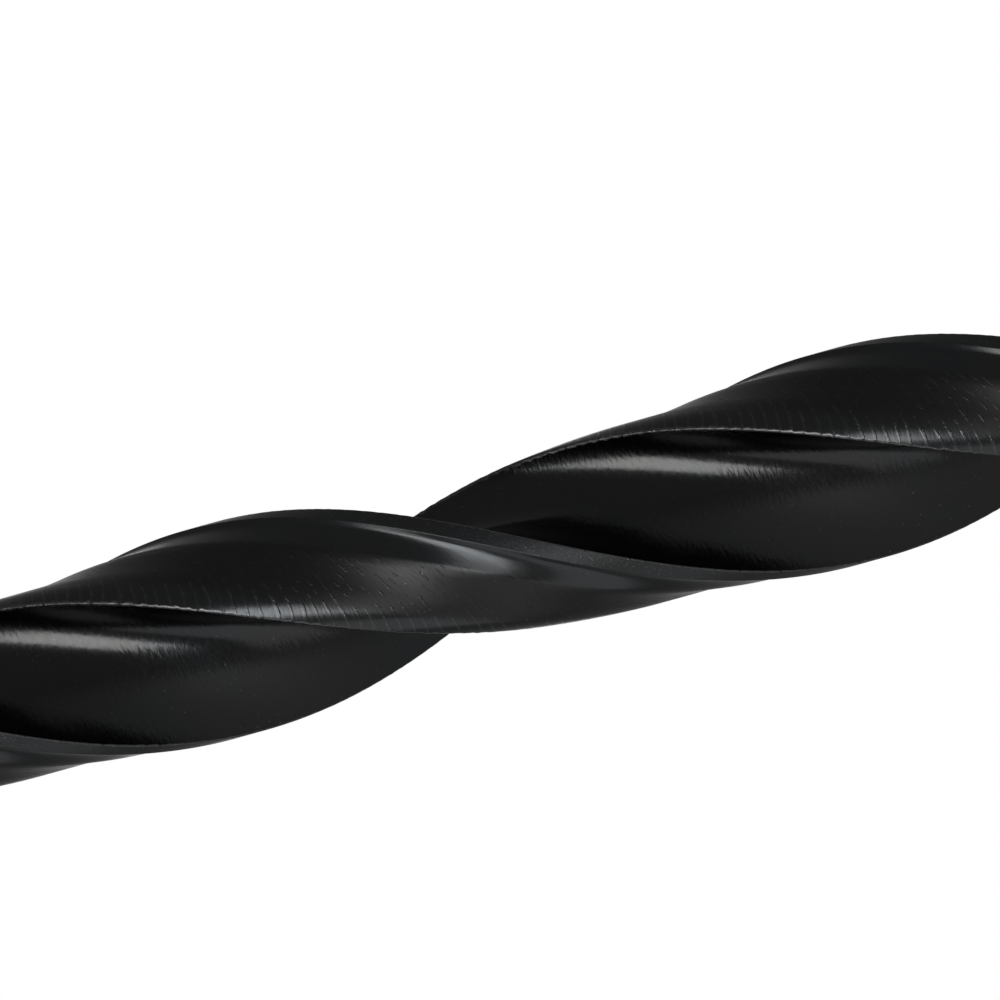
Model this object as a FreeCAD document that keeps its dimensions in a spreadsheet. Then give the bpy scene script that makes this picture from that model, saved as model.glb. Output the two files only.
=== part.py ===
import FreeCAD, Part
import Sketcher
import math
import os
import sys

# A jobber-length twist drill for metal, ground from one round bar: a plain shank, two right-hand flutes,
# a narrow margin behind each cutting edge, a cleared land behind the margin, and a ground point.
# It stands on its shank end: Z is the axis, the origin is the middle of the shank end, the point is up.

# Driving dimensions: alias, value (mm or degrees), what it is.
SIZES = [
    ("diameter", 10.0, "over the two margins"),
    ("overall_length", 133.0, "shank end to the nominal tip"),
    ("flute_length", 87.0, "nominal tip to the end of the flute run-out"),
    ("lead", 60.4, "axial length of one full turn of a flute"),
    ("web_thickness", 2.2, "core left between the two flutes"),
    ("margin_width", 1.02, "margin, measured round the circumference"),
    ("land_angle", 81.8, "cutting edge to heel, seen along the axis"),
    ("body_clearance", 0.75, "how far the land lies under the margin"),
    ("heel_bevel", 1.2, "width of the flat between the cleared land and the heel"),
    ("heel_drop", 0.245, "how far the heel edge lies under the cleared land"),
    ("flute_runout", 13.0, "length over which a flute fades out"),
    ("land_runout", 8.0, "length over which the land clearance fades out"),
    ("point_angle", 118.0, "included angle of the two lips"),
    ("lip_relief", 10.0, "relief angle behind a lip at the outer corner"),
    ("grind_cone_angle", 30.0, "half angle of the cone that each flank is ground to"),
    ("grind_cone_offset", 7.0, "that cone's apex past the axis, measured along the lip"),
    ("body_clock", 110.0, "direction of the first cutting edge at the full-depth end of the flutes"),
    ("shank_diameter", 9.95, "plain shank, a little under the drill's size"),
    ("shank_chamfer", 0.6, "bevel round the shank end"),
    ("shoulder_gap", 2.0, "plain bar between the run-out and the shank"),
]

# Values worked out in the sheet from the driving dimensions: alias, formula, what it is.
WORKED_OUT = [
    ("half_point", "point_angle / 2", "lip to axis"),
    ("radius", "diameter / 2", "margin radius"),
    ("half_web", "web_thickness / 2", "web circle's radius"),
    ("outside", "radius * 1.2", "cutters reach out to here, clear of the bar"),
    ("cleared_radius", "radius - body_clearance", "cleared land"),
    ("heel_radius", "cleared_radius - heel_drop", "heel edge"),
    ("corner_reach", "sqrt(radius ^ 2 - half_web ^ 2)", "lip's outer corner along the lip"),
    ("corner_depth", "corner_reach / tan(half_point)", "lip's outer corner below the tip"),
    ("margin_angle", "360 * margin_width / (pi * diameter)", "margin seen along the axis"),
    ("flute_angle", "180 - land_angle", "cutting edge to the other land's heel"),
    ("web_touch", "90 - asin(half_web / radius) / 1 deg - 360 * corner_depth / lead",
     "where the flute touches the web"),
    ("face_reach", "(radius ^ 2 - half_web ^ 2) / (2 * (radius * cos(web_touch) - half_web))",
     "axis to the centre of the arc under the lip"),
    ("back_reach", "(heel_radius ^ 2 - half_web ^ 2)"
     " / (2 * (heel_radius * cos(flute_angle - web_touch) - half_web))",
     "axis to the centre of the arc under the heel"),
    ("past_heel_radius", "(heel_radius + radius) / 2", "the flute's wheel runs out past the heel to here"),
    ("past_heel_angle", "web_touch + 1 / 1 deg * acos((past_heel_radius ^ 2 + back_reach ^ 2"
     " - (back_reach - half_web) ^ 2) / (2 * past_heel_radius * back_reach))", "and in this direction"),
    ("flat_angle", "margin_angle + 1 / 1 deg * acos(cleared_radius / radius)",
     "where the flat behind the margin runs into the cleared land"),
    ("flat_side", "flat_angle - 1 / 1 deg * acos(cleared_radius / outside)",
     "where that flat, carried on over the margin, is clear of the bar"),
    ("bevel_angle", "land_angle - 1 / 1 deg * acos((heel_radius ^ 2 + cleared_radius ^ 2 - heel_bevel ^ 2)"
     " / (2 * heel_radius * cleared_radius))", "where the bevel leaves the cleared land"),
    ("full_depth", "overall_length - flute_length + flute_runout", "height where the flutes reach full depth"),
    ("fluted_rise", "overall_length - full_depth + radius", "height that the cutters climb from there"),
    ("cone_top", "overall_length + 1.5 * half_web / tan(half_point)", "tip of the bar before its point is ground"),
    ("cone_foot", "cone_top - radius / tan(half_point)", "where the bar's cone begins"),
    ("shank_radius", "shank_diameter / 2", "plain shank"),
    ("shank_top", "overall_length - flute_length - shoulder_gap", "upper end of the shank"),
    ("flute_lift", "(radius - half_web) * 1.1", "how far the wheel draws back as a flute fades out"),
    ("land_lift", "(radius - heel_radius) * 2.6", "how far it draws back as the land clearance fades out"),
    ("lip_clock", "body_clock + 360 * (overall_length - corner_depth - full_depth) / lead"
     " - asin(half_web / radius) / 1 deg", "direction that the first lip points"),
    ("flank_tilt", "1 / 1 deg * atan((tan(lip_relief) - half_web / (radius * tan(half_point)))"
     " * radius / corner_reach * sin(half_point))", "flank's lean behind the lip"),
    ("flank_reach", "radius * 1.5", "grinding wheel's section, from the middle of the web outwards"),
]

# The wheel that clears a land runs on past the heel, by this share of the bevel and then by this angle.
BEVEL_OVERRUN = 1.2
CLEAR_ANGLE = 16

# Turn of a flank's grinding about its cone's axis, in degrees: behind the lip, and ahead of it.
GRIND_BEHIND = 80
GRIND_AHEAD = 20

# Number of stretches that a run-out is drawn in.
FADE_STEPS = 4

# How a sketch counts the ends and the centre of a shape, and its own origin.
START, END, CENTRE = 1, 2, 3
ORIGIN = -1


def polar(reach, clock):
    """Formulas for the x and y of a point that lies at a distance and a direction from the axis."""
    return "(%s) * cos(%s)" % (reach, clock), "(%s) * sin(%s)" % (reach, clock)


# Points of the section, seen along the axis, with x at the first cutting edge.
AXIS = ("0 mm", "0 mm")
WEB_TOUCH = polar("Sizes.half_web", "Sizes.web_touch")
FACE_CENTRE = polar("Sizes.face_reach", "Sizes.web_touch")
BACK_CENTRE = polar("Sizes.back_reach", "Sizes.web_touch")
HEEL = polar("Sizes.heel_radius", "Sizes.flute_angle")
BEVEL_START = polar("Sizes.cleared_radius", "180 - Sizes.bevel_angle")
FLAT_END = polar("Sizes.cleared_radius", "180 - Sizes.flat_angle")
EDGE_SIDE = polar("Sizes.outside", "0")
MARGIN_SIDE = polar("Sizes.outside", "180 - Sizes.flat_side")


def fill_sheet(doc):
    """Put both lists into the sheet, one row for each value."""
    sheet = doc.addObject("Spreadsheet::Sheet", "Sizes")
    for row, (alias, value, note) in enumerate(SIZES + WORKED_OUT, start=1):
        text = str(value) if isinstance(value, float) else "=" + value
        sheet.set("A%d" % row, alias)
        sheet.set("B%d" % row, text)
        sheet.set("C%d" % row, note)
        sheet.setAlias("B%d" % row, alias)
    doc.recompute()


def place(sketch, spot):
    """The point that a pair of formulas gives for the present sizes."""
    x, y = (float(sketch.evalExpression(formula)) for formula in spot)
    return FreeCAD.Vector(x, y, 0)


def hold(sketch, kind, places, formula):
    """Add one dimension to a sketch and bind it to a formula."""
    value = float(sketch.evalExpression(formula))
    number = sketch.addConstraint(Sketcher.Constraint(kind, *places, value))
    sketch.setExpression("Constraints[%d]" % number, formula)


def pin(sketch, shape, end, spot):
    """Hold one end or centre of a sketch shape at a pair of formulas."""
    hold(sketch, "DistanceX", (shape, end), spot[0])
    hold(sketch, "DistanceY", (shape, end), spot[1])


def join(sketch, shape, end, other, other_end):
    sketch.addConstraint(Sketcher.Constraint("Coincident", shape, end, other, other_end))


def new_sketch(body, name, role):
    """A sketch on one of the body's own origin planes."""
    sketch = body.newObject("Sketcher::SketchObject", name)
    plane = next(item for item in body.Origin.OriginFeatures if item.Role == role)
    sketch.AttachmentSupport = (plane, "")
    sketch.MapMode = "FlatFace"
    return sketch


def line(sketch, start, end):
    """Straight line, drawn from where its ends lie now and not yet held."""
    return sketch.addGeometry(Part.LineSegment(place(sketch, start), place(sketch, end)))


def arc(sketch, centre, start, end):
    """Anticlockwise arc, drawn from where its centre and ends lie now, with its centre pinned."""
    middle = place(sketch, centre)
    first, last = place(sketch, start) - middle, place(sketch, end) - middle
    circle = Part.Circle(middle, FreeCAD.Vector(0, 0, 1), first.Length)
    angles = [math.atan2(ray.y, ray.x) for ray in (first, last)]
    number = sketch.addGeometry(Part.ArcOfCircle(circle, angles[0], angles[1]))
    pin(sketch, number, CENTRE, centre)
    return number


def polygon(sketch, spots):
    """Closed outline of straight lines through pinned corners."""
    after = spots[1:] + spots[:1]
    lines = [line(sketch, spot, following) for spot, following in zip(spots, after)]
    for number, spot in zip(lines, spots):
        pin(sketch, number, START, spot)
    for number, following in zip(lines, lines[1:] + lines[:1]):
        join(sketch, number, END, following, START)


def bar(body):
    """The round bar: shank with a bevelled end, shoulder, body and a rough cone for the point."""
    sketch = new_sketch(body, "BarProfile", "XZ_Plane")
    polygon(sketch, [
        ("0 mm", "0 mm"),
        ("Sizes.shank_radius - Sizes.shank_chamfer", "0 mm"),
        ("Sizes.shank_radius", "Sizes.shank_chamfer"),
        ("Sizes.shank_radius", "Sizes.shank_top"),
        ("Sizes.radius", "Sizes.shank_top + Sizes.shoulder_gap / 2"),
        ("Sizes.radius", "Sizes.cone_foot"),
        ("0 mm", "Sizes.cone_top"),
    ])
    turned = body.newObject("PartDesign::Revolution", "Bar")
    turned.Profile = sketch
    turned.ReferenceAxis = (sketch, ["V_Axis"])
    turned.Angle = 360


def cutter_sketch(body, name, fade=0, runout="0", lift="0", lift_clock="0"):
    """A sketch square to the axis, turned so that its x meets the cutting edge.

    With fade 0 it lies where the flutes reach full depth. Towards fade 1 it follows the flutes down to
    the end of the run-out, while the wheel draws back on an arc.
    """
    sketch = new_sketch(body, "%s%d" % (name, round(fade * FADE_STEPS)), "XY_Plane")
    down = "%s * %s" % (fade, runout)
    clock = "Sizes.body_clock - 360 * %s / Sizes.lead" % down
    back = polar("%s * %s" % (fade ** 2, lift), "%s + %s" % (clock, lift_clock))
    sketch.setExpression("AttachmentOffset", "placement(vector(%s; %s; Sizes.full_depth - %s); rotationz(%s))"
                         % (back[0], back[1], down, clock))
    sketch.Document.recompute()
    return sketch


def draw_under_lip(sketch):
    """Arc of the flute under the lip, from the web circle out past the cutting edge."""
    face = arc(sketch, FACE_CENTRE, WEB_TOUCH, EDGE_SIDE)
    pin(sketch, face, START, WEB_TOUCH)
    return face


def draw_land(sketch, heel_side):
    """Heel's bevel, cleared land and the flat behind the margin; returns the bevel and the flat."""
    bevel = line(sketch, heel_side, BEVEL_START)
    land = arc(sketch, AXIS, BEVEL_START, FLAT_END)
    flat = line(sketch, FLAT_END, MARGIN_SIDE)
    pin(sketch, bevel, END, BEVEL_START)
    join(sketch, bevel, END, land, START)
    hold(sketch, "DistanceX", (flat, START), FLAT_END[0])
    join(sketch, flat, START, land, END)
    hold(sketch, "DistanceY", (flat, END), MARGIN_SIDE[1])
    return bevel, flat


def draw_rim(sketch, start, end):
    """Arc clear of the bar that closes a section from outside."""
    rim = arc(sketch, AXIS, start, end)
    hold(sketch, "Radius", (rim,), "Sizes.outside")
    return rim


def ground_profile(body):
    """All that is ground away between one cutting edge and the next margin, at full depth."""
    sketch = cutter_sketch(body, "GroundProfile")
    face = draw_under_lip(sketch)
    back = arc(sketch, BACK_CENTRE, HEEL, WEB_TOUCH)
    bevel, flat = draw_land(sketch, HEEL)
    rim = draw_rim(sketch, EDGE_SIDE, MARGIN_SIDE)
    join(sketch, face, START, back, END)
    join(sketch, back, START, bevel, START)
    hold(sketch, "Distance", (back, START, ORIGIN, START), "Sizes.heel_radius")
    join(sketch, face, END, rim, START)
    join(sketch, flat, END, rim, END)
    return sketch


def flute_profile(body, fade):
    """Section of the wheel that grinds a flute."""
    sketch = cutter_sketch(body, "FluteProfile", fade, "Sizes.flute_runout", "Sizes.flute_lift",
                           "Sizes.flute_angle / 2")
    past_heel = polar("Sizes.past_heel_radius", "Sizes.past_heel_angle")
    clear_of_bar = polar("Sizes.outside", "Sizes.flute_angle")
    face = draw_under_lip(sketch)
    back = arc(sketch, BACK_CENTRE, past_heel, WEB_TOUCH)
    side = line(sketch, past_heel, clear_of_bar)
    rim = draw_rim(sketch, EDGE_SIDE, clear_of_bar)
    join(sketch, face, START, back, END)
    hold(sketch, "Distance", (back, START, ORIGIN, START), "Sizes.past_heel_radius")
    join(sketch, back, START, side, START)
    hold(sketch, "DistanceX", (side, END), clear_of_bar[0])
    join(sketch, side, END, rim, END)
    join(sketch, face, END, rim, START)
    return sketch


def land_profile(body, fade):
    """Section of the wheel that clears a land."""
    sketch = cutter_sketch(body, "LandProfile", fade, "Sizes.land_runout", "Sizes.land_lift",
                           "180 - Sizes.land_angle / 2")
    past_heel = tuple("(%s) + %s * ((%s) - (%s))" % (heel, BEVEL_OVERRUN, heel, start)
                      for heel, start in zip(HEEL, BEVEL_START))
    clear_of_bar = polar("Sizes.outside", "Sizes.flute_angle - %s" % CLEAR_ANGLE)
    bevel, flat = draw_land(sketch, past_heel)
    side = line(sketch, past_heel, clear_of_bar)
    rim = draw_rim(sketch, clear_of_bar, MARGIN_SIDE)
    pin(sketch, bevel, START, past_heel)
    join(sketch, bevel, START, side, START)
    hold(sketch, "DistanceX", (side, END), clear_of_bar[0])
    join(sketch, side, END, rim, START)
    join(sketch, flat, END, rim, END)
    return sketch


def helical_cut(body, name, sketch):
    """Sweep a section up the drill at the flutes' lead."""
    cut = body.newObject("PartDesign::SubtractiveHelix", name)
    cut.Profile = sketch
    cut.ReferenceAxis = (sketch, ["N_Axis"])
    cut.Mode = "pitch-height-angle"
    cut.setExpression("Pitch", "Sizes.lead")
    cut.setExpression("Height", "Sizes.fluted_rise")
    return cut


def runout_cut(body, name, profile):
    """Carry a cut on below its full depth, through sections that draw back out of the bar."""
    sections = [profile(body, step / FADE_STEPS) for step in range(FADE_STEPS + 1)]
    cut = body.newObject("PartDesign::SubtractiveLoft", name)
    cut.Profile = sections[0]
    cut.Sections = sections[1:]
    return cut


def flank_cut(body):
    """Grind one flank to a cone, as a wheel does while the drill rocks about that cone's axis."""
    sketch = new_sketch(body, "WheelProfile", "XY_Plane")
    sketch.setExpression("AttachmentOffset",
                         "placement(rotationz(Sizes.lip_clock) * vector(0; Sizes.half_web; 0)"
                         " + vector(0; 0; Sizes.overall_length);"
                         " rotationz(Sizes.lip_clock) * rotationy(90 - Sizes.half_point)"
                         " * rotationx(90 + Sizes.flank_tilt))")
    sketch.Document.recompute()
    polygon(sketch, [
        ("-Sizes.half_web", "0 mm"),
        ("Sizes.flank_reach", "0 mm"),
        ("Sizes.flank_reach", "Sizes.radius"),
        ("-Sizes.half_web", "Sizes.radius"),
    ])
    apex = ("-Sizes.grind_cone_offset", "0 mm")
    along = ("-Sizes.grind_cone_offset + Sizes.radius * cos(Sizes.grind_cone_angle)",
             "-Sizes.radius * sin(Sizes.grind_cone_angle)")
    cone_axis = line(sketch, apex, along)
    sketch.setConstruction(cone_axis, True)
    pin(sketch, cone_axis, START, apex)
    pin(sketch, cone_axis, END, along)
    groove = body.newObject("PartDesign::Groove", "Flank")
    groove.Profile = sketch
    groove.ReferenceAxis = (sketch, ["Axis0"])
    groove.Type = "TwoAngles"
    groove.Angle = GRIND_BEHIND
    groove.Angle2 = GRIND_AHEAD
    return groove


def opposite(body, name, sketch, cuts):
    """Repeat cuts on the other side of the axis."""
    pattern = body.newObject("PartDesign::PolarPattern", name)
    pattern.Originals = cuts
    pattern.Axis = (sketch, ["N_Axis"])
    pattern.Angle = 360
    pattern.Occurrences = 2
    body.Tip = pattern


def build(doc):
    fill_sheet(doc)
    body = doc.addObject("PartDesign::Body", "TwistDrill")
    body.Label = "twist_drill"
    bar(body)
    ground = ground_profile(body)
    cuts = [
        helical_cut(body, "Fluting", ground),
        runout_cut(body, "FluteRunout", flute_profile),
        runout_cut(body, "LandRunout", land_profile),
    ]
    doc.recompute()
    opposite(body, "BothSides", ground, cuts)
    doc.recompute()
    grind = flank_cut(body)
    doc.recompute()
    opposite(body, "BothFlanks", ground, [grind])
    doc.recompute()
    return body


def check(doc, body):
    """Stop if any object of the document failed or the drill isn't one sound solid."""
    for item in doc.Objects:
        if "Invalid" in item.State or "Error" in item.State:
            sys.exit("%s failed: %s" % (item.Name, item.State))
    shape = body.Shape
    if shape.isNull() or not shape.isValid() or len(shape.Solids) != 1:
        sys.exit("%s isn't one valid solid" % body.Label)


def main():
    os.makedirs("parts", exist_ok=True)
    doc = FreeCAD.newDocument("twist_drill_bit")
    body = build(doc)
    check(doc, body)
    body.Shape.exportStep(os.path.join("parts", body.Label + ".step"))
    print("volume %.1f mm3, box %s" % (body.Shape.Volume, body.Shape.optimalBoundingBox()))
    return doc, body


main()
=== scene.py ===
import math

import bpy
import numpy as np
from mathutils import Matrix, Vector
from mathutils.geometry import delaunay_2d_cdt


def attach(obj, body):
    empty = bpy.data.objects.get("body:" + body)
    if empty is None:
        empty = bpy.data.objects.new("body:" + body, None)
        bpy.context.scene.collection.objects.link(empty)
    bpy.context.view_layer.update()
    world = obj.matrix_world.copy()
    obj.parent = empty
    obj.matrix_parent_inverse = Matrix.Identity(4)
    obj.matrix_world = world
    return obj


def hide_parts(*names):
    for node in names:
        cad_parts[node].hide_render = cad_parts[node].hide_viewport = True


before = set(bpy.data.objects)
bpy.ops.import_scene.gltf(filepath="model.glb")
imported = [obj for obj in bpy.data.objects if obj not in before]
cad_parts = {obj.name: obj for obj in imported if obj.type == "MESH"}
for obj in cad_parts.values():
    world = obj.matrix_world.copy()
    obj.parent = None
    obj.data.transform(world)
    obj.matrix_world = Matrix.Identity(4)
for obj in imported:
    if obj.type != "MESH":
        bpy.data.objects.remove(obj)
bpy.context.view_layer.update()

# The drill stands on its shank end, with its axis on Z. Sizes are in millimetres until the mesh is made.
MM = 0.001
NODE = "twist_drill"
RADIUS = 5.0
OVERALL_LENGTH = 133.0
FLUTE_LENGTH = 87.0
LEAD = 60.4
HALF_WEB = 1.1
MARGIN_WIDTH = 1.02
LAND_ANGLE = math.radians(81.8)
CLEARED_RADIUS = 4.25
HEEL_RADIUS = 4.005
HEEL_WIDTH = 1.2
FLUTE_RUNOUT = 13.0
LAND_RUNOUT = 8.0
HALF_POINT = math.radians(59.0)
LIP_RELIEF = math.radians(10.0)
GRIND_CONE_ANGLE = math.radians(30.0)
GRIND_CONE_OFFSET = 7.0
BODY_CLOCK = math.radians(110.0)
SHANK_RADIUS = 4.975
SHANK_CHAMFER = 0.6
SHOULDER_GAP = 2.0

# Forms too fine for the solid: the rounded heel, the small step behind the margin and the worn corners.
HEEL_ROUND = 2.2
HEEL_OVERRUN = 3.0
FLAT_TILT = math.radians(-16.0)
FLAT_WIDTH = 1.30
STEP_PLACE = 0.72
STEP_FOOT = 0.46
STEP_TILT = math.radians(9.0)
CORNER_EASES = {"edge": 0.05, "heel": 0.12, "round": 0.10, "cleared": 0.05, "knee": 0.20,
                "flat": 0.11, "step": 0.03}
BLUNT_EASES = {"edge": 0.09, "heel": 0.24, "round": 0.10, "cleared": 0.05, "knee": 0.20,
               "flat": 0.11, "step": 0.04}
SMALLEST_EASE = 0.01

# Feed marks lean and bend across the land, and the worn dashes of the corners drift along the drill.
FEED_PITCH = 0.59
MARK_LEAN = 0.2
MARK_BEND = 0.16
SEED = 7
DRIFT_ROWS = 9
DRIFT_TURN = 9
DASH_SHARE = 0.65
CHANCE_SHARE = 0.5
SHARP_SHARE = 0.05

# How far the grinding wheels are drawn back at the end of the run-out, as shares of what they cut.
FLUTE_LIFT_SHARE = 1.1
LAND_LIFT_SHARE = 2.6
MOST_LAND_FADE = 2.0
LAST_FADE_SHARE = 0.998

# Values that follow from those sizes.
FULL_DEPTH = OVERALL_LENGTH - FLUTE_LENGTH + FLUTE_RUNOUT
SHANK_TOP = OVERALL_LENGTH - FLUTE_LENGTH - SHOULDER_GAP
OUTSIDE = 1.2 * RADIUS
FLUTE_ANGLE = math.pi - LAND_ANGLE
WEB_CLOCK = math.asin(HALF_WEB / RADIUS)
CORNER_REACH = math.sqrt(RADIUS ** 2 - HALF_WEB ** 2)
CORNER_DEPTH = CORNER_REACH / math.tan(HALF_POINT)
TWIST = 2 * math.pi / LEAD
WEB_TOUCH = math.pi / 2 - WEB_CLOCK - TWIST * CORNER_DEPTH
FLUTE_LIFT = (RADIUS - HALF_WEB) * FLUTE_LIFT_SHARE
LAND_LIFT = (RADIUS - HEEL_RADIUS) * LAND_LIFT_SHARE
LIP_CLOCK = BODY_CLOCK + TWIST * (OVERALL_LENGTH - CORNER_DEPTH - FULL_DEPTH) - WEB_CLOCK
MARGIN_ANGLE = MARGIN_WIDTH / RADIUS
ROUND_CLOCK = FLUTE_ANGLE + math.acos((HEEL_RADIUS ** 2 + CLEARED_RADIUS ** 2 - HEEL_WIDTH ** 2)
                                      / (2 * HEEL_RADIUS * CLEARED_RADIUS))

# Number of steps along the drill and across each stretch of half the section, from a cutting edge on.
ROW_HEIGHT = 0.2
RUNOUT_ROWS = 44
FADE_ROWS = 4
DENSE = 700
LAND_DENSE = 150
STRETCH_STEPS = {"flute": 30, "round": 5, "cleared": 6, "relief": 4, "flat": 5, "step": 3, "margin": 5}
CORNER_OFFSETS = [-1.25, -1.0, -0.5, 0.0, 0.5, 1.0, 1.25]
SHARP_CORNERS = ("edge", "heel", "step")
WORN_CORNERS = ("edge", "heel")
HEEL_CORNER, KNEE_CORNER = 1, 4

# The flute's two arcs run on past the section by these angles, and are cut back where they leave it.
FACE_OVERRUN = 0.2
BACK_OVERRUN = 0.5
EDGE_ZONE = math.radians(20)
FEWEST_INSIDE = 4
FADE_EASES = 12

# Grid of the ground point, the steps of each search for a height or an angle, and the shank's extra ring.
GRID_SPACING = 0.3
GRID_CLEARANCE = 0.6 * GRID_SPACING
CHISEL_SPACING = GRID_SPACING / 3
CHISEL_END = 0.9 * HALF_WEB
MERGE_DISTANCE = 1e-6
HALVINGS = 40
POINT_ROOM = 1.6 * RADIUS
TIP_ROOM = 0.5
ABOVE_CHAMFER = 1.0

# The marks' track on the second half of the section lies this far aside, so the two halves differ.
SIDE_OFFSET = 50.0

# Parts of the surface, which also number the material slots.
FLUTE, WORN, LAND, MARGIN, FLANK, SHANK = range(6)


def polar(reach, clock):
    return np.array([reach * math.cos(clock), reach * math.sin(clock)])


def clock_of(point):
    return math.atan2(point[1], point[0])


def clocks_and_reaches(points):
    return np.unwrap(np.arctan2(points[:, 1], points[:, 0])), np.hypot(points[:, 0], points[:, 1])


def unit(vector):
    return vector / np.linalg.norm(vector)


def turned(points, clock):
    turn = np.array([[math.cos(clock), math.sin(clock)], [-math.sin(clock), math.cos(clock)]])
    return points @ turn


def arc_points(centre, start, end, count):
    """Points on the short arc about a centre."""
    first = clock_of(start - centre)
    last = clock_of(end - centre)
    sweep = (last - first + math.pi) % (2 * math.pi) - math.pi
    reach = np.linalg.norm(start - centre)
    turn = first + sweep * np.linspace(0, 1, count)
    return centre + reach * np.stack([np.cos(turn), np.sin(turn)], axis=1)


def touching_reach(outer_radius, spread):
    """Distance to the centre of an arc that touches the web circle and ends on an outer circle."""
    return (outer_radius ** 2 - HALF_WEB ** 2) / (2 * (outer_radius * math.cos(spread) - HALF_WEB))


def flute_curve():
    """The flute's outline from beyond the cutting edge, over the web circle, to beyond the heel."""
    face_centre = polar(touching_reach(RADIUS, WEB_TOUCH), WEB_TOUCH)
    back_centre = polar(touching_reach(HEEL_RADIUS, FLUTE_ANGLE - WEB_TOUCH), WEB_TOUCH)
    touch = polar(HALF_WEB, WEB_TOUCH)
    face_radius = np.linalg.norm(touch - face_centre)
    back_radius = np.linalg.norm(touch - back_centre)
    edge_clock = clock_of(polar(RADIUS, 0.0) - face_centre)
    heel_clock = clock_of(polar(HEEL_RADIUS, FLUTE_ANGLE) - back_centre)
    start = face_centre + polar(face_radius, edge_clock + FACE_OVERRUN)
    end = back_centre + polar(back_radius, heel_clock - BACK_OVERRUN)
    face = arc_points(face_centre, start, touch, DENSE)
    back = arc_points(back_centre, touch, end, DENSE)
    return np.vstack([face, back[1:]])


def heel_arc():
    """The rounded heel, from the heel's corner to the cleared land."""
    heel = polar(HEEL_RADIUS, FLUTE_ANGLE)
    end = polar(CLEARED_RADIUS, ROUND_CLOCK)
    chord = end - heel
    outward = unit(np.array([chord[1], -chord[0]]))
    centre = (heel + end) / 2 - outward * math.sqrt(HEEL_ROUND ** 2 - (HEEL_WIDTH / 2) ** 2)
    return arc_points(centre, heel, end, DENSE)


def margin_step():
    """Foot of the small step behind the margin, the way its wall rises, and the flat's other end."""
    corner = polar(RADIUS, math.pi - STEP_PLACE / RADIUS)
    flat_clock = math.pi - MARGIN_ANGLE - math.acos(CLEARED_RADIUS / RADIUS) + math.pi / 2
    solid_flat = polar(1.0, flat_clock)
    foot = corner - STEP_FOOT * solid_flat
    knee = foot - FLAT_WIDTH * turned(solid_flat, -FLAT_TILT)
    return foot, turned(solid_flat, -STEP_TILT), knee


STEP_CORNER, STEP_WALL, KNEE = margin_step()
CLEARED_CLOCK = clock_of(KNEE) - math.acos(CLEARED_RADIUS / np.linalg.norm(KNEE))


def margin_clock():
    """Clock angle at which the step's wall reaches the margin."""
    inward = -STEP_CORNER @ STEP_WALL
    rise = inward + math.sqrt(inward ** 2 + RADIUS ** 2 - STEP_CORNER @ STEP_CORNER)
    return clock_of(STEP_CORNER + rise * STEP_WALL)


def land_curve():
    """The land's outline from inside the heel to outside the margin, as the clearing wheels cut it."""
    round_part = heel_arc()
    overrun = round_part[0] - HEEL_OVERRUN * unit(round_part[1] - round_part[0])
    cleared = arc_points(np.zeros(2), round_part[-1], polar(CLEARED_RADIUS, CLEARED_CLOCK), DENSE)
    relief = np.linspace(cleared[-1], KNEE, DENSE)
    flat = np.linspace(KNEE, STEP_CORNER, DENSE)
    step = np.linspace(STEP_CORNER, STEP_CORNER + OUTSIDE / 2 * STEP_WALL, DENSE)
    return np.vstack([overrun[None], round_part, cleared[1:], relief[1:], flat[1:], step[1:]])


FLUTE_OUTLINE = flute_curve()
LAND_OUTLINE = land_curve()
LAND_ENDS = [FLUTE_ANGLE, ROUND_CLOCK, CLEARED_CLOCK, clock_of(KNEE), clock_of(STEP_CORNER),
             margin_clock(), math.pi]
LAND_SHARES = [(clock - FLUTE_ANGLE) / LAND_ANGLE for clock in LAND_ENDS]


def outer_reach(clocks, lift):
    """Radius of the land and margin at each clock angle, with the clearing wheels drawn back by lift."""
    shift = polar(lift, math.pi - LAND_ANGLE / 2)
    land_clocks, land_reaches = clocks_and_reaches(LAND_OUTLINE + shift)
    order = np.argsort(land_clocks)
    reach = np.interp(clocks, land_clocks[order], land_reaches[order], left=OUTSIDE, right=OUTSIDE)
    return np.minimum(reach, RADIUS)


def crossing(curve, gap, outer, inner):
    """Point between two of the curve's points at which the gap is nothing."""
    share = gap[outer] / (gap[outer] - gap[inner])
    return curve[outer] + share * (curve[inner] - curve[outer])


def land_points(heel, edge, land_lift):
    """Dense land and margin from the heel to the next cutting edge, with a point at each corner."""
    heel_clock = clock_of(heel)
    edge_clock = clock_of(edge) + math.pi
    pieces = [np.linspace(first, last, LAND_DENSE)[1:]
              for first, last in zip(LAND_SHARES, LAND_SHARES[1:])]
    clocks = heel_clock + np.concatenate(pieces) * (edge_clock - heel_clock)
    reach = outer_reach(clocks, land_lift)
    return np.stack([reach * np.cos(clocks), reach * np.sin(clocks)], axis=1)


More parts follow.
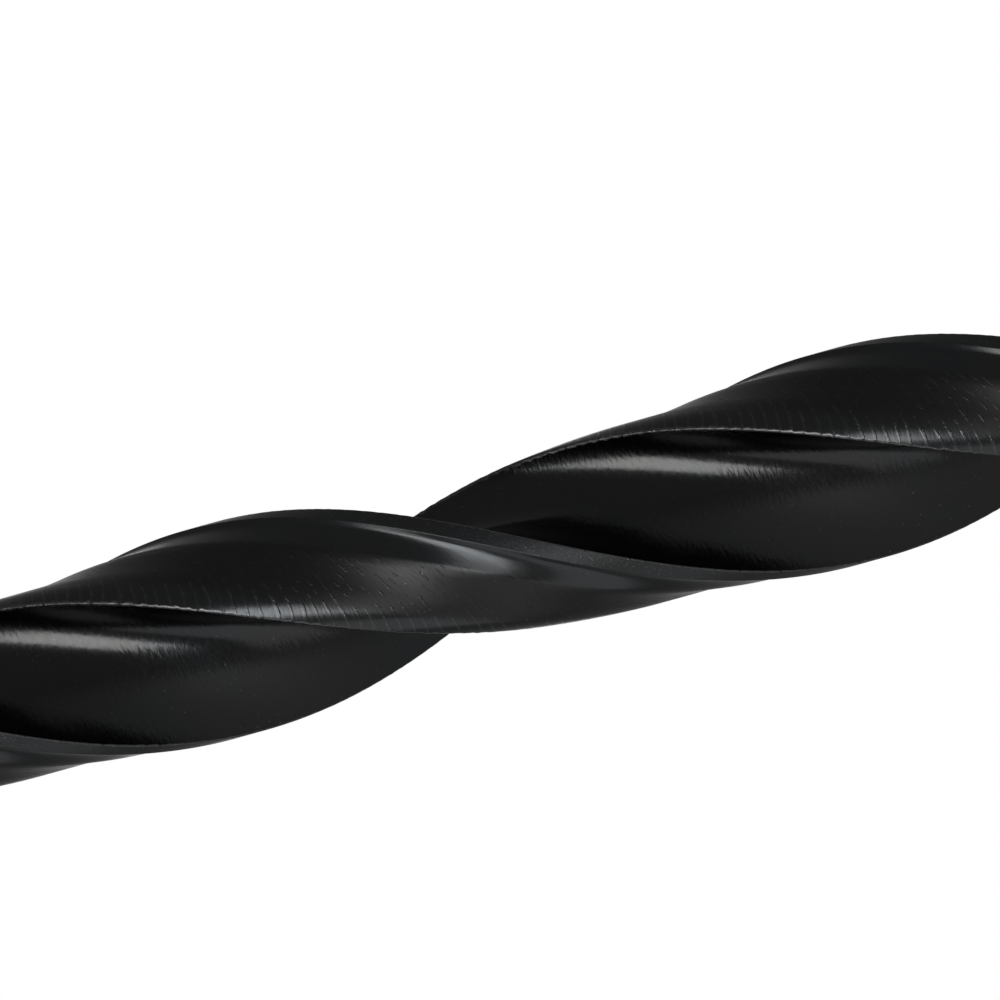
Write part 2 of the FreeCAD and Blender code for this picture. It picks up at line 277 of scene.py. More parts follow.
def half_outline(flute_lift, land_lift):
    """Dense outline from one cutting edge to the next, and the arc lengths to its points and corners."""
    curve = FLUTE_OUTLINE + polar(flute_lift, FLUTE_ANGLE / 2)
    clocks, reaches = clocks_and_reaches(curve)
    gap = reaches - outer_reach(clocks % (2 * math.pi), land_lift)
    near_edge = clocks < EDGE_ZONE
    gap[near_edge] = (reaches - RADIUS)[near_edge]
    inside = np.nonzero(gap < 0)[0]
    if len(inside) < FEWEST_INSIDE:
        return None
    first, last = inside[0], inside[-1]
    edge = crossing(curve, gap, first - 1, first)
    heel = crossing(curve, gap, last + 1, last)
    flute = np.vstack([edge[None], curve[first:last + 1], heel[None]])
    land = land_points(heel, edge, land_lift)
    outline = np.vstack([flute, land[:-1], -edge[None]])
    steps = np.linalg.norm(np.diff(outline, axis=0), axis=1)
    along = np.concatenate([[0], np.cumsum(steps)])
    corners = [0] + [len(flute) - 1 + k * (LAND_DENSE - 1) for k in range(len(LAND_SHARES))]
    return outline, along, along[corners]


def corner_part(name, offset, before, after):
    """Part of the surface that follows one of a corner's columns."""
    if offset == CORNER_OFFSETS[0]:
        return before
    return WORN if name in WORN_CORNERS and -1 <= offset < 1 else after


def column_places(corners, eases):
    """Arc lengths of the section's columns, the ease at each, and the part of the surface after each."""
    names = list(eases)
    ease = list(eases.values()) + [eases["edge"]]
    places, widths, parts = [], [], []
    part = MARGIN
    for k, (stretch, steps) in enumerate(STRETCH_STEPS.items()):
        before, part = part, {"flute": FLUTE, "margin": MARGIN}.get(stretch, LAND)
        for offset in CORNER_OFFSETS if names[k] in SHARP_CORNERS else [0.0]:
            places.append(corners[k] + offset * ease[k])
            widths.append(ease[k])
            parts.append(corner_part(names[k], offset, before, part))
        following = names[(k + 1) % len(names)]
        room = CORNER_OFFSETS[0] * ease[k + 1] if following in SHARP_CORNERS else 0.0
        start, end = places[-1], corners[k + 1] + room
        for share in np.linspace(0, 1, steps + 1)[1:-1]:
            places.append(start + share * (end - start))
            widths.append(0.0)
            parts.append(part)
    return np.array(places), np.array(widths), parts


def eased_points(outline, along, places, widths):
    """Points of the closed outline at some arc lengths, each averaged over its ease to both sides."""
    total = along[-1]
    places_all = np.concatenate([along[:-1] - total, along, along[1:] + total])
    points_all = np.vstack([-outline[:-1], outline, -outline[1:]])
    steps = np.diff(places_all)[:, None] * (points_all[1:] + points_all[:-1]) / 2
    sums = np.vstack([np.zeros((1, 2)), np.cumsum(steps, axis=0)])

    def read(table, at):
        return np.stack([np.interp(at, places_all, table[:, axis]) for axis in (0, 1)], axis=1)

    width = np.maximum(widths, SMALLEST_EASE)
    averaged = (read(sums, places + width) - read(sums, places - width)) / (2 * width[:, None])
    return np.where(widths[:, None] > SMALLEST_EASE, averaged, read(points_all, places))


def section(flute_lift, land_lift, eases):
    """Columns of the whole section, or None where the flute has run out."""
    found = half_outline(flute_lift, land_lift)
    if found is None:
        return None
    outline, along, corners = found
    fade = min(1.0, corners[HEEL_CORNER] / (FADE_EASES * eases["heel"]))
    faded = {name: fade * ease for name, ease in eases.items()}
    places, widths, _ = column_places(corners, faded)
    half = eased_points(outline, along, places, widths)
    return np.vstack([half, -half])


FULL_SECTION = section(0.0, 0.0, CORNER_EASES)
BLUNT_SECTION = section(0.0, 0.0, BLUNT_EASES)
COLUMNS = len(FULL_SECTION)
HALF_CORNERS = half_outline(0.0, 0.0)[-1]
HALF_LENGTH = HALF_CORNERS[-1]
HEEL_PLACE = HALF_CORNERS[HEEL_CORNER]
KNEE_PLACE = HALF_CORNERS[KNEE_CORNER] - HEEL_PLACE
HALF_PLACES, _, HALF_PARTS = column_places(HALF_CORNERS, CORNER_EASES)
PARTS = HALF_PARTS + HALF_PARTS


def flank_frame():
    """Cone that a flank is ground to: its apex and axis, with the lip along x at y = half the web."""
    slope = 1 / math.tan(HALF_POINT)
    lean = (math.tan(LIP_RELIEF) - slope * HALF_WEB / RADIUS) * RADIUS / CORNER_REACH
    lip = np.array([math.sin(HALF_POINT), 0.0, -math.cos(HALF_POINT)])
    outward = unit(np.array([slope, -lean, 1.0]))
    axis = lip * math.cos(GRIND_CONE_ANGLE) - outward * math.sin(GRIND_CONE_ANGLE)
    apex = np.array([0.0, HALF_WEB, 0.0]) - GRIND_CONE_OFFSET * lip
    return apex, axis


APEX, CONE_AXIS = flank_frame()


def flank_height(x, y):
    """Height of one flank's cone over a point of the lip's frame, measured from the nominal tip."""
    to_point = np.array([x - APEX[0], y - APEX[1], np.zeros_like(x) - APEX[2]])
    cosine2 = math.cos(GRIND_CONE_ANGLE) ** 2
    along = np.tensordot(CONE_AXIS, to_point, axes=1)
    a = CONE_AXIS[2] ** 2 - cosine2
    b = 2 * (CONE_AXIS[2] * along - cosine2 * to_point[2])
    c = along ** 2 - cosine2 * (to_point ** 2).sum(axis=0)
    root = np.sqrt(np.maximum(b * b - 4 * a * c, 0))
    both = np.array([(-b - root) / (2 * a), (-b + root) / (2 * a)])
    ahead = CONE_AXIS[2] * both + along > 0
    return np.where(ahead, both, -OVERALL_LENGTH).max(axis=0)


def chisel_clock(reach):
    """Direction of the chisel edge in the lip's frame, where both flanks are equally high."""
    low, high = 0.0, math.pi / 2
    for _ in range(HALVINGS):
        middle = (low + high) / 2
        x, y = polar(reach, middle)
        first, second = flank_height(np.array([x, -x]), np.array([y, -y]))
        low, high = (middle, high) if first < second else (low, middle)
    return middle


CHISEL_CLOCK = chisel_clock(CHISEL_END)


def tip_height(x, y):
    """Height of the ground point over a point of the drill's own frame."""
    local_x = x * math.cos(LIP_CLOCK) + y * math.sin(LIP_CLOCK)
    local_y = -x * math.sin(LIP_CLOCK) + y * math.cos(LIP_CLOCK)
    first = flank_height(local_x, local_y)
    second = flank_height(-local_x, -local_y)
    reach = np.hypot(local_x, local_y)
    near = np.minimum(first, second)
    side = local_y < local_x * math.tan(CHISEL_CLOCK)
    return OVERALL_LENGTH + np.where(reach < HALF_WEB, near, np.where(side, first, second))


def top_heights():
    """Height at which each column of the twisted section meets the ground point."""
    reach = np.hypot(FULL_SECTION[:, 0], FULL_SECTION[:, 1])
    clock = np.arctan2(FULL_SECTION[:, 1], FULL_SECTION[:, 0]) + BODY_CLOCK
    low = np.full(COLUMNS, OVERALL_LENGTH - POINT_ROOM)
    high = np.full(COLUMNS, OVERALL_LENGTH + TIP_ROOM)
    for _ in range(HALVINGS):
        middle = (low + high) / 2
        turn = clock + TWIST * (middle - FULL_DEPTH)
        under = middle < tip_height(reach * np.cos(turn), reach * np.sin(turn))
        low = np.where(under, middle, low)
        high = np.where(under, high, middle)
    return low


def shank_rings(above):
    """Round rings from the bottom end to the collar, with the clock angles of the ring above them."""
    clock = np.arctan2(above[:, 1], above[:, 0])
    collar_start = SHANK_TOP + SHOULDER_GAP / 4
    collar_end = SHANK_TOP + SHOULDER_GAP / 2
    rings = [(SHANK_RADIUS - SHANK_CHAMFER, 0.0), (SHANK_RADIUS, SHANK_CHAMFER),
             (SHANK_RADIUS, ABOVE_CHAMFER), (SHANK_RADIUS, SHANK_TOP / 2), (SHANK_RADIUS, SHANK_TOP),
             (RADIUS, collar_start), (RADIUS, collar_end)]
    return [np.stack([radius * np.cos(clock), radius * np.sin(clock), np.full(COLUMNS, height)], axis=1)
            for radius, height in rings]


def runout_rings():
    """Rings where flute and clearance deepen from the collar up to the full section."""
    found = []
    last_fade = math.sqrt((RADIUS - HALF_WEB) / FLUTE_LIFT) * LAST_FADE_SHARE
    for share in np.linspace(last_fade, 0, RUNOUT_ROWS):
        down = share * FLUTE_RUNOUT
        land_fade = min(down / LAND_RUNOUT, MOST_LAND_FADE)
        columns = section(FLUTE_LIFT * share ** 2, LAND_LIFT * land_fade ** 2, CORNER_EASES)
        if columns is not None:
            points = turned(columns, BODY_CLOCK - TWIST * down)
            found.append(np.column_stack([points, np.full(COLUMNS, FULL_DEPTH - down)]))
    return found


def wear(rows, generator):
    """How blunt the corners are at each row, from 0 to 1: dashes at the pitch of the cutter's feed."""
    height = FULL_DEPTH + ROW_HEIGHT * np.arange(rows + 1)
    even = np.ones(DRIFT_ROWS) / DRIFT_ROWS
    drift = np.convolve(generator.random(rows + DRIFT_ROWS), even, mode="valid")
    dashes = 0.5 + 0.5 * np.cos(2 * math.pi * height / FEED_PITCH + DRIFT_TURN * drift)
    chance = generator.random(rows + 1)
    return np.clip(DASH_SHARE * dashes + CHANCE_SHARE * chance - SHARP_SHARE, 0, 1)


def body_rings():
    """Rings of the full section from the run-out to the point, its corners blunter in places."""
    tops = top_heights()
    rows = int((OVERALL_LENGTH - FULL_DEPTH) / ROW_HEIGHT)
    generator = np.random.default_rng(SEED)
    half = COLUMNS // 2
    blunt = [wear(rows, generator), wear(rows, generator)]
    found = []
    for row in range(1, rows + 1):
        fade = min(1.0, (rows - row) / FADE_ROWS, row / FADE_ROWS)
        share = np.repeat([fade * blunt[0][row], fade * blunt[1][row]], half)[:, None]
        points = FULL_SECTION + share * (BLUNT_SECTION - FULL_SECTION)
        reach = np.hypot(points[:, 0], points[:, 1])
        height = FULL_DEPTH + (tops - FULL_DEPTH) * row / rows
        turn = np.arctan2(points[:, 1], points[:, 0]) + BODY_CLOCK + TWIST * (height - FULL_DEPTH)
        found.append(np.stack([reach * np.cos(turn), reach * np.sin(turn), height], axis=1))
    return found


def chisel_points(outline):
    """Points along the chisel edge, out to the flutes on both sides."""
    steps = math.ceil(HALF_WEB / CHISEL_SPACING)
    found = []
    for step in range(-steps, steps + 1):
        reach = step * CHISEL_SPACING
        point = polar(reach, LIP_CLOCK + chisel_clock(abs(reach)))
        away = np.hypot(outline[:, 0] - point[0], outline[:, 1] - point[1]).min()
        if abs(reach) < HALF_WEB and away > CHISEL_SPACING / 2:
            found.append(point)
    return found


def grid_points(outline, chisel):
    """Points of an even grid over the ground point, clear of its outline and of the chisel edge."""
    borders = np.vstack([outline[:, :2], chisel])
    steps = np.arange(-RADIUS, RADIUS + GRID_SPACING, GRID_SPACING)
    found = []
    for x in steps:
        for y in steps:
            away = np.hypot(borders[:, 0] - x, borders[:, 1] - y).min()
            if away > GRID_CLEARANCE and math.hypot(x, y) < RADIUS:
                found.append((x, y))
    return found


def flank_faces(outline, first_index, next_index):
    """New points and triangles that close the ground point inside the outline of the last ring."""
    chisel = chisel_points(outline)
    inner = [Vector(point) for point in chisel + grid_points(outline, chisel)]
    count = len(outline)
    flat = [Vector(point[:2]) for point in outline]
    edge = [(count + k, count + k + 1) for k in range(len(chisel) - 1)]
    points, _, faces, sources, *_ = delaunay_2d_cdt(
        flat + inner, edge, [list(range(count))], 1, MERGE_DISTANCE)
    numbers, fresh = [], []
    for point, found in zip(points, sources):
        ring = [source for source in found if source < count]
        if ring:
            numbers.append(first_index + ring[0])
        else:
            numbers.append(next_index + len(fresh))
            fresh.append(list(point))
    xy = np.array(fresh)
    raised = np.column_stack([xy, tip_height(xy[:, 0], xy[:, 1])])
    return raised, [tuple(numbers[corner] for corner in face) for face in faces]


def column_tracks():
    """For each column the marks' sweep and distance from the heel at both its sides, and its half."""
    half = COLUMNS // 2
    places = np.concatenate([HALF_PLACES, HALF_PLACES]) - HEEL_PLACE
    past_heel = np.maximum(places, 0.0)
    sweep = MARK_LEAN * past_heel - MARK_BEND * past_heel ** 2
    found = []
    for column in range(COLUMNS):
        after = (column + 1) % COLUMNS
        last = after % half == 0
        right = HALF_LENGTH + places[0] if last else places[after]
        right_sweep = sweep[column] if last else sweep[after]
        found.append((sweep[column], places[column], right_sweep, right, SIDE_OFFSET * (column // half)))
    return found


def side_faces(points, rows, shank_rows):
    """Four-cornered faces between the rings, with the part of each and the track at its corners."""
    columns = column_tracks()
    faces, parts, tracks = [], [], []
    for row in range(rows - 1):
        low, high = row * COLUMNS, (row + 1) * COLUMNS
        for column, (sweep, left, right_sweep, right, side) in enumerate(columns):
            after = (column + 1) % COLUMNS
            faces.append((low + column, low + after, high + after, high + column))
            parts.append(SHANK if row < shank_rows else PARTS[column])
            tracks += [(points[low + column, 2] + sweep, left, side),
                       (points[low + after, 2] + right_sweep, right, side),
                       (points[high + after, 2] + right_sweep, right, side),
                       (points[high + column, 2] + sweep, left, side)]
    return faces, parts, tracks


def drill_mesh():
    """The whole drill as one closed mesh, with the part and the track of each face."""
    runout = runout_rings()
    shank = shank_rings(runout[0])
    rings = shank + runout + body_rings()
    points = np.vstack(rings)
    faces, parts, tracks = side_faces(points, len(rings), len(shank))
    bottom = tuple(reversed(range(COLUMNS)))
    top_points, top_faces = flank_faces(rings[-1], len(points) - COLUMNS, len(points))
    faces += [bottom] + top_faces
    parts += [SHANK] + [FLANK] * len(top_faces)
    tracks += [(0, 0, 0)] * (COLUMNS + sum(len(face) for face in top_faces))
    mesh = bpy.data.meshes.new("twist_drill_body")
    mesh.from_pydata(np.vstack([points, top_points]) * MM, [], faces)
    mesh.polygons.foreach_set("material_index", parts)
    track = mesh.attributes.new("track", "FLOAT_VECTOR", "CORNER")
    track.data.foreach_set("vector", np.array(tracks, dtype=np.float32).ravel())
    mesh.update()
    return mesh


def add(tree, kind, settings, inputs):
    """Adds a node, sets it up and joins its inputs, and returns its first output."""
    node = tree.nodes.new(kind)
    for name, value in settings.items():
        setattr(node, name, value)
    for name, value in inputs.items():
        if isinstance(value, bpy.types.NodeSocket):
            tree.links.new(value, node.inputs[name])
        else:
            node.inputs[name].default_value = value
    return node.outputs[0]


def calculate(tree, operation, *values):
    """One sum of the node tree, over outputs or plain numbers."""
    return add(tree, "ShaderNodeMath", {"operation": operation}, dict(enumerate(values)))


def streaks(tree, source, pitch, length, angle=0, shift=0.0):
    """Noise drawn out along lines: pitch across them and length along them, in the source's own unit."""
    placed = add(tree, "ShaderNodeMapping", {"vector_type": "TEXTURE"}, {
        "Vector": source, "Location": (shift, shift, 0), "Rotation": (0, 0, math.radians(angle)),
        "Scale": (pitch, length, 1.0)})
    return add(tree, "ShaderNodeTexNoise", {"noise_dimensions": "3D"}, {
        "Vector": placed, "Scale": 1.0, "Detail": 1.5, "Roughness": 0.55})


def grain(tree, source, size, detail):
    """Even noise with spots of about the given size."""
    return add(tree, "ShaderNodeTexNoise", {}, {
        "Vector": source, "Scale": 1.0 / size, "Detail": detail, "Roughness": 0.6})


def ramp(tree, value, low, high, bottom=0.0, top=1.0):
    """Bottom up to where the value is low, top from where it is high, and a smooth way between."""
    return add(tree, "ShaderNodeMapRange", {"interpolation_type": "SMOOTHSTEP"}, {
        "Value": value, "From Min": low, "From Max": high, "To Min": bottom, "To Max": top})


def mix_colour(tree, share, first, second):
    """The first colour where the share is 0 and the second where it is 1."""
    node = tree.nodes.new("ShaderNodeMix")
    node.data_type = "RGBA"
    named = {"Factor_Float": share, "A_Color": first, "B_Color": second}
    for socket in node.inputs:
        value = named.get(socket.identifier)
        if isinstance(value, bpy.types.NodeSocket):
            tree.links.new(value, socket)
        elif value is not None:
            socket.default_value = value if socket.identifier == "Factor_Float" else (*value, 1)
    return next(socket for socket in node.outputs if socket.identifier == "Result_Color")


def bump(tree, height, depth, below=None):
    """Raises the surface by depth metres where the height is 1."""
    inputs = {"Strength": 1.0, "Distance": depth, "Height": height}
    if below is not None:
        inputs["Normal"] = below
    return add(tree, "ShaderNodeBump", {}, inputs)


# Colours of the oxide and of the steel under it; the steel colour also paints glints on the land's
# feed-mark crests.
BLUISH = (0.0350, 0.0370, 0.0385)
BROWNISH = (0.0380, 0.0378, 0.0374)
BARE_STEEL_AND_GLINT = (0.30, 0.29, 0.28)
WORN_OXIDE = (0.070, 0.070, 0.073)
DULL_OXIDE = (0.027, 0.027, 0.027)
# Share of the oxide's colour kept in the flute: painted shade that darkens the hollow flute.
FLUTE_PAINTED_SHADE = 0.85

# Smoothest and roughest of each part. The land's are those near the heel and in its duller middle.
FLUTE_ROUGHNESS = (0.16, 0.24)
LAND_ROUGHNESS = (0.24, 0.40)
LAND_UNEVENNESS = (-0.03, 0.03)
MARGIN_ROUGHNESS = (0.34, 0.46)
WORN_ROUGHNESS = (0.26, 0.40)
FLANK_ROUGHNESS = (0.26, 0.38)
SHANK_ROUGHNESS = (0.24, 0.36)

# Depths of the marks and sizes of the spots, in metres.
STROKE_DEPTH = 8e-6
FINE_DEPTH = 3e-6
CREST_DEPTH = 1.0e-5
GRIT_DEPTH = 9e-6
DASH_DEPTH = 1.5e-5
FLANK_RING_DEPTH = 6e-6
SHANK_RING_DEPTH = 4e-6
CLOUD_SIZE = 0.009
SPECK_SIZE = 0.00010
GRIT_SIZE = 0.00009
SHANK_SPECK_SIZE = 0.00012

# Ranges of a noise over which it is taken: most of it, its upper part, and more and more rare peaks.
NOISE_SPAN = (0.3, 0.7)
CLOUD_SPAN = (0.38, 0.62)
PATCH_SPAN = (0.52, 0.61)
GRIT_SPAN = (0.60, 0.74)
WORN_SPAN = (0.62, 0.75)
SHANK_SPECKS = (0.80, 0.88)
FLUTE_SPECKS = (0.82, 0.88)
LAND_SPECKS = (0.84, 0.90)

# Feed marks: the part of the wave that is crest, how far they wander, and where on the land they end.
CREST_SPAN = (0.62, 0.98)
MARK_WANDER = 9.0
PATCH_SIZE = 0.35
WHOLE_MARKS = (0.8, 1.6)
# Where the land's feed-mark crests are painted lighter: partly rubbed steel, partly painted glints,
# strongest near the heel.
RUBBED_AND_GLINT_MARKS = (1.0, 2.2)
MARKS_END = (KNEE_PLACE, KNEE_PLACE + 0.3)
DULL_START = (0.9, 1.7)
DULL_END = (KNEE_PLACE - 0.1, KNEE_PLACE + 0.3)


def new_material(name):
    """A metal material, with its shader and the place on the drill in metres."""
    material = bpy.data.materials.new(name)
    material.use_nodes = True
    tree = material.node_tree
    shader = tree.nodes["Principled BSDF"]
    shader.inputs["Metallic"].default_value = 1.0
    place = tree.nodes.new("ShaderNodeTexCoord").outputs["Object"]
    return material, tree, shader, place


def mark_track(tree):
    """The mesh's track: height with the marks' sweep, distance from the heel, and the half, in mm."""
    first = add(tree, "ShaderNodeAttribute", {"attribute_name": "track"}, {})
    return next(output for output in first.node.outputs if output.name == "Vector")


def dress(tree, shader, colour, roughness, normal):
    tree.links.new(colour, shader.inputs["Base Color"])
    tree.links.new(roughness, shader.inputs["Roughness"])
    tree.links.new(normal, shader.inputs["Normal"])


def oxide_colour(tree, place, specks=None, shade=1.0):
    """Black oxide: clouds of bluish and brownish tints, with specks of bare steel; shade scales the tints
    down as painted shade.
    """
    clouds = ramp(tree, grain(tree, place, CLOUD_SIZE, 2.0), *CLOUD_SPAN)
    tints = [tuple(shade * value for value in tint) for tint in (BLUISH, BROWNISH)]
    colour = mix_colour(tree, clouds, *tints)
    if specks is None:
        return colour
    return mix_colour(tree, specks, colour, BARE_STEEL_AND_GLINT)


def feed_marks(tree, track, whole=0.0):
    """Crests that the cutter leaves at each turn, 1 on the crest, broken up except where whole is 1."""
    wander = streaks(tree, track, pitch=3.0 * FEED_PITCH, length=4.0, shift=3.0)
    along = add(tree, "ShaderNodeSeparateXYZ", {}, {"Vector": track})
    turns = calculate(tree, "MULTIPLY", along, 2 * math.pi / FEED_PITCH)
    phase = calculate(tree, "MULTIPLY_ADD", wander, MARK_WANDER, turns)
    crests = ramp(tree, calculate(tree, "SINE", phase), *CREST_SPAN)
    patches = streaks(tree, track, pitch=PATCH_SIZE, length=PATCH_SIZE, shift=7.0)
    left = calculate(tree, "MAXIMUM", ramp(tree, patches, *PATCH_SPAN), whole)
    return calculate(tree, "MULTIPLY", crests, left)


def flute_material():
    """Milled flute: strokes of the cutter across it, finer ones between them, and a satin oxide darkened
    by painted shade in the hollow.
    """
    material, tree, shader, place = new_material("black_oxide_flute")
    track = mark_track(tree)
    strokes = streaks(tree, track, pitch=0.20, length=0.55, angle=-4)
    fine = streaks(tree, track, pitch=0.09, length=0.45, angle=-6, shift=11.0)
    specks = ramp(tree, grain(tree, place, SPECK_SIZE, 0.0), *FLUTE_SPECKS, top=0.3)
    # The flute's tints are scaled down here as painted shade in the hollow.
    colour = oxide_colour(tree, place, specks, FLUTE_PAINTED_SHADE)
    roughness = ramp(tree, fine, *NOISE_SPAN, *FLUTE_ROUGHNESS)
    normal = bump(tree, fine, FINE_DEPTH, bump(tree, strokes, STROKE_DEPTH))
    dress(tree, shader, colour, roughness, normal)
    return material


def land_material():
    """Milled clearance: slanting feed marks whose crests are painted lighter, partly rubbed steel and
    partly painted glints, over an oxide that is duller midway.
    """
    material, tree, shader, place = new_material("black_oxide_land")
    track = mark_track(tree)
    across = add(tree, "ShaderNodeSeparateXYZ", {}, {"Vector": track}).node.outputs["Y"]
    marks = feed_marks(tree, track, ramp(tree, across, *WHOLE_MARKS, bottom=0.5, top=0.0))
    crests = calculate(tree, "MULTIPLY", marks, ramp(tree, across, *MARKS_END, bottom=1.0, top=0.0))
    dull_end = ramp(tree, across, *DULL_END, bottom=1.0, top=0.0)
    middle = calculate(tree, "MULTIPLY", ramp(tree, across, *DULL_START), dull_end)
    oxide = mix_colour(tree, middle, oxide_colour(tree, place), DULL_OXIDE)
    # Crests lighter towards the heel: partly rubbed steel, partly painted glints that stand in for light
    # catching the marks.
    rubbed_and_glint = calculate(tree, "MULTIPLY", crests, ramp(tree, across, *RUBBED_AND_GLINT_MARKS, bottom=0.08, top=0.015))
    specks = ramp(tree, grain(tree, place, SPECK_SIZE, 0.0), *LAND_SPECKS, top=0.3)
    colour = mix_colour(tree, calculate(tree, "MAXIMUM", specks, rubbed_and_glint), oxide, BARE_STEEL_AND_GLINT)
    fine = streaks(tree, track, pitch=0.12, length=0.5, shift=5.0)
    even = ramp(tree, middle, 0, 1, *LAND_ROUGHNESS)
    roughness = calculate(tree, "ADD", even, ramp(tree, fine, *NOISE_SPAN, *LAND_UNEVENNESS))
    normal = bump(tree, fine, FINE_DEPTH, bump(tree, crests, CREST_DEPTH))
    dress(tree, shader, colour, roughness, normal)
    return material


def margin_material():
    """Ground margin: gritty and duller, with specks of bare steel."""
    material, tree, shader, place = new_material("black_oxide_margin")
    grit = grain(tree, place, GRIT_SIZE, 2.0)
    colour = oxide_colour(tree, place, ramp(tree, grit, *GRIT_SPAN, top=0.22))
    roughness = ramp(tree, grit, *NOISE_SPAN, *MARGIN_ROUGHNESS)
    dress(tree, shader, colour, roughness, bump(tree, grit, GRIT_DEPTH))
    return material


def worn_material():
    """Corners where the oxide has rubbed thin, in dashes at the pitch of the cutter's feed."""
    material, tree, shader, place = new_material("black_oxide_worn_edge")
    gaps = feed_marks(tree, mark_track(tree))
    grit = grain(tree, place, SPECK_SIZE, 1.0)
    worn = mix_colour(tree, ramp(tree, gaps, 0.1, 0.5), WORN_OXIDE, BLUISH)
    colour = mix_colour(tree, ramp(tree, grit, *WORN_SPAN, top=0.4), worn, BARE_STEEL_AND_GLINT)
    roughness = ramp(tree, grit, *NOISE_SPAN, *WORN_ROUGHNESS)
    dress(tree, shader, colour, roughness, bump(tree, gaps, DASH_DEPTH))
    return material


def flank_material():
    """Ground point: fine rings of the grinding wheel about the axis."""
    material, tree, shader, place = new_material("black_oxide_point")
    flat = add(tree, "ShaderNodeVectorMath", {"operation": "MULTIPLY"}, {0: place, 1: (1, 1, 0)})
    length = add(tree, "ShaderNodeVectorMath", {"operation": "LENGTH"}, {0: flat})
    reach = length.node.outputs["Value"]
    rings = add(tree, "ShaderNodeTexNoise", {"noise_dimensions": "1D"}, {
        "W": reach, "Scale": 14000.0, "Detail": 3.0})
    roughness = ramp(tree, rings, *NOISE_SPAN, *FLANK_ROUGHNESS)
    dress(tree, shader, oxide_colour(tree, place), roughness, bump(tree, rings, FLANK_RING_DEPTH))
    return material


def shank_material():
    """Turned and ground shank: fine rings round it, softly uneven oxide and a few rubbed spots."""
    material, tree, shader, place = new_material("black_oxide_shank")
    stretched = add(tree, "ShaderNodeMapping", {}, {"Vector": place, "Scale": (150.0, 150.0, 9000.0)})
    rings = add(tree, "ShaderNodeTexNoise", {}, {
        "Vector": stretched, "Scale": 1.0, "Detail": 3.0, "Roughness": 0.6})
    specks = ramp(tree, grain(tree, place, SHANK_SPECK_SIZE, 1.0), *SHANK_SPECKS, top=0.4)
    colour = oxide_colour(tree, place, specks)
    roughness = ramp(tree, rings, *NOISE_SPAN, *SHANK_ROUGHNESS)
    dress(tree, shader, colour, roughness, bump(tree, rings, SHANK_RING_DEPTH))
    return material


SHARP_ANGLE = math.radians(38)
MATERIALS = (flute_material, worn_material, land_material, margin_material, flank_material, shank_material)


def make_drill():
    """The drill's one piece, which takes the place of the solid."""
    mesh = drill_mesh()
    drill = bpy.data.objects.new("drill_body", mesh)
    bpy.context.scene.collection.objects.link(drill)
    for make in MATERIALS:
        mesh.materials.append(make())
    mesh.shade_smooth()
    mesh.set_sharp_from_angle(angle=SHARP_ANGLE)
    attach(drill, "root")
    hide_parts(NODE)


# Camera: square on to the side of the fluted body, a little from below, the shank end up to the right.
PHOTO_SIZE = 1000
PIXELS_PER_MM = 21.472
AXIS_RISE = math.radians(15.65)
AXIS_TURN = math.radians(5.25)
AIM_ALONG, AIM_ACROSS = 5.35, 51.4
AIM_HEIGHT = 88.0
CAMERA_DISTANCE = 700.0
SENSOR = 36.0


def make_camera():
    """The camera that takes the picture at the photo's angle and scale."""
    along = Vector((0, math.sin(AXIS_TURN), -math.cos(AXIS_TURN)))
    across = Vector((1, 0, 0))
    forward = Vector((0, math.cos(AXIS_TURN), math.sin(AXIS_TURN)))
    right = along * math.cos(AXIS_RISE) - across * math.sin(AXIS_RISE)
    up = along * math.sin(AXIS_RISE) + across * math.cos(AXIS_RISE)
    aim = Vector((0, 0, AIM_HEIGHT)) + (along * AIM_ALONG + across * AIM_ACROSS) / PIXELS_PER_MM
    place = (aim - forward * CAMERA_DISTANCE) * MM
    data = bpy.data.cameras.new("camera")
    data.sensor_width = SENSOR
    data.lens = SENSOR * CAMERA_DISTANCE * PIXELS_PER_MM / PHOTO_SIZE
    data.clip_start = 0.05
    data.clip_end = 20
    camera = bpy.data.objects.new("camera", data)
    turn = Matrix((right, up, -forward)).transposed().to_4x4()
    camera.matrix_world = Matrix.Translation(place) @ turn
    bpy.context.scene.collection.objects.link(camera)
    bpy.context.scene.camera = camera


# Floor, in metres.
FLOOR_HALF = 3.0
FLOOR_GREY = 0.76
FLOOR_ROUGHNESS = 0.7


def make_floor():
    """A wide pale floor under the shank end."""
    mesh = bpy.data.meshes.new("floor")
    signs = [(-1, -1), (1, -1), (1, 1), (-1, 1)]
    corners = [(FLOOR_HALF * x, FLOOR_HALF * y, 0) for x, y in signs]
    mesh.from_pydata(corners, [], [(0, 1, 2, 3)])
    floor = bpy.data.objects.new("floor", mesh)
    bpy.context.scene.collection.objects.link(floor)
    material = bpy.data.materials.new("pale_floor")
    material.use_nodes = True
    shader = material.node_tree.nodes["Principled BSDF"]
    shader.inputs["Base Color"].default_value = (FLOOR_GREY, FLOOR_GREY, FLOOR_GREY, 1)
    shader.inputs["Roughness"].default_value = FLOOR_ROUGHNESS
    mesh.materials.append(material)


def direction(azimuth, elevation):
    """Way from the drill: azimuth 0 is the camera's side and grows towards +Z, elevation towards +X."""
    a, e = math.radians(azimuth), math.radians(elevation)
    return Vector((math.sin(e), -math.cos(e) * math.cos(a), math.cos(e) * math.sin(a)))


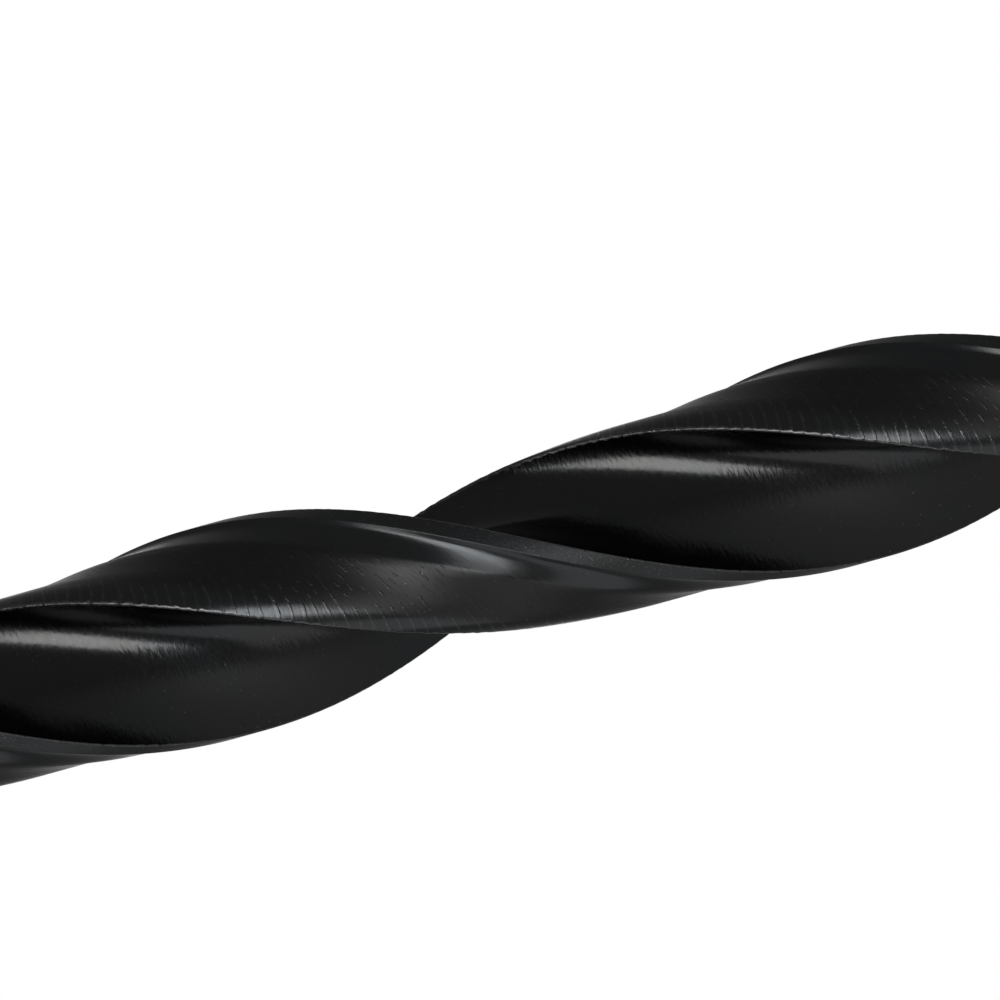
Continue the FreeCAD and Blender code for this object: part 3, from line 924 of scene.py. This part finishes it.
def make_light(name, azimuth, elevation, distance, wide, high, radiance):
    """A soft box that faces the middle of the drill; wide and high are its angles as seen from there."""
    data = bpy.data.lights.new(name, "AREA")
    data.shape = "RECTANGLE"
    data.size = 2 * distance * math.tan(math.radians(high / 2))
    data.size_y = 2 * distance * math.tan(math.radians(wide / 2))
    data.energy = radiance * math.pi * data.size * data.size_y
    away = direction(azimuth, elevation)
    upwards = direction(azimuth, elevation + 90)
    across = away.cross(upwards)
    light = bpy.data.objects.new(name, data)
    light.visible_camera = False
    place = Vector((0, 0, AIM_HEIGHT * MM)) + away * distance
    turn = Matrix((upwards, across, away)).transposed().to_4x4()
    light.matrix_world = Matrix.Translation(place) @ turn
    bpy.context.scene.collection.objects.link(light)


# The backdrop stands behind the drill as the photo shows it, and the rest of the room is dim.
BACKDROP_SIDE = (0.0, 1.0, 0.0)
BACKDROP_SPAN = (0.95, 0.995)
ROOM_GREY = 0.26


def background(tree, strength):
    return add(tree, "ShaderNodeBackground", {}, {"Color": (1, 1, 1, 1), "Strength": strength})


def make_world():
    """White all round for the camera; the metal shows the backdrop's white on its side, and a dim room."""
    world = bpy.data.worlds.new("studio")
    bpy.context.scene.world = world
    world.use_nodes = True
    tree = world.node_tree
    tree.nodes.clear()
    rays = tree.nodes.new("ShaderNodeLightPath").outputs
    way = tree.nodes.new("ShaderNodeTexCoord").outputs["Generated"]
    facing = add(tree, "ShaderNodeVectorMath", {"operation": "DOT_PRODUCT"}, {0: way, 1: BACKDROP_SIDE})
    backdrop = ramp(tree, facing.node.outputs["Value"], *BACKDROP_SPAN)
    shows = calculate(tree, "MAXIMUM", rays["Is Glossy Ray"], rays["Is Transmission Ray"])
    mirrored = calculate(tree, "MULTIPLY", shows, backdrop)
    white = calculate(tree, "MAXIMUM", rays["Is Camera Ray"], mirrored)
    dim, bright = background(tree, ROOM_GREY), background(tree, 1.0)
    mixed = add(tree, "ShaderNodeMixShader", {}, {0: white, 1: dim, 2: bright})
    out = tree.nodes.new("ShaderNodeOutputWorld")
    tree.links.new(mixed, out.inputs["Surface"])


make_drill()
make_camera()
make_floor()
make_world()
make_light("key", azimuth=28, elevation=-19, distance=0.55, wide=28, high=26, radiance=7.0)
make_light("fill", azimuth=10, elevation=-75, distance=2.6, wide=80, high=40, radiance=0.8)
make_light("back", azimuth=150, elevation=0, distance=0.6, wide=50, high=50, radiance=0.5)
bpy.context.scene.view_settings.view_transform = "Standard"
